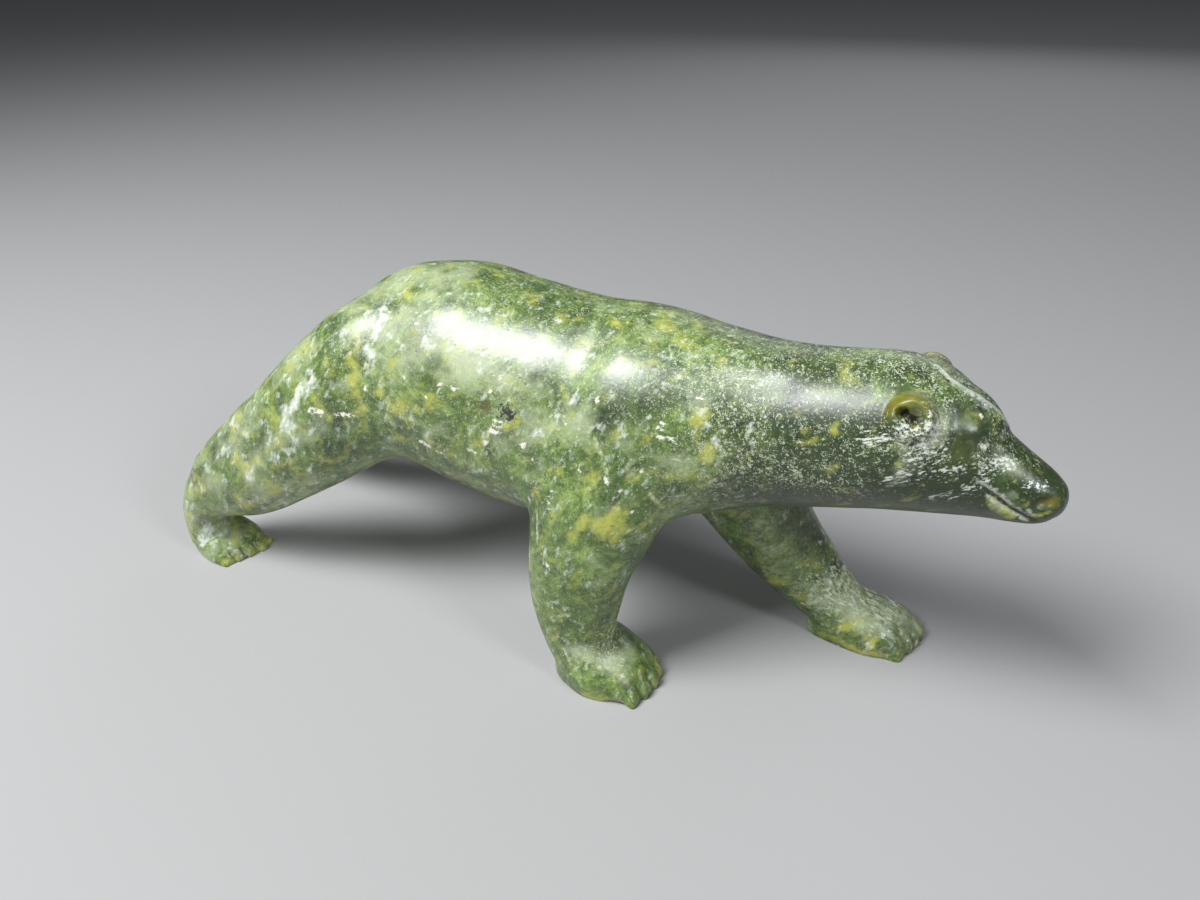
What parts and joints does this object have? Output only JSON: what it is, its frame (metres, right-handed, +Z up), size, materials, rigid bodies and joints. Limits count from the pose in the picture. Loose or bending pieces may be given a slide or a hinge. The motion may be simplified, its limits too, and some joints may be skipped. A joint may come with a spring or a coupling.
{
  "type": "bear carving",
  "caption": "Walking bear carved in polished mottled green stone, neck and head stretched forward, mid-stride, standing on its own flat-soled paws.",
  "frame": {"origin": "on the ground under the middle of the bounding box", "axes": "+X from the rump to the nose, +Y to the bear's left, +Z up"},
  "size_m": [0.2582, 0.0682, 0.1003],
  "materials": {
    "stone": "polished"
  },
  "bodies": {
    "root": {"bear": "stone"}
  },
  "joints": []
}
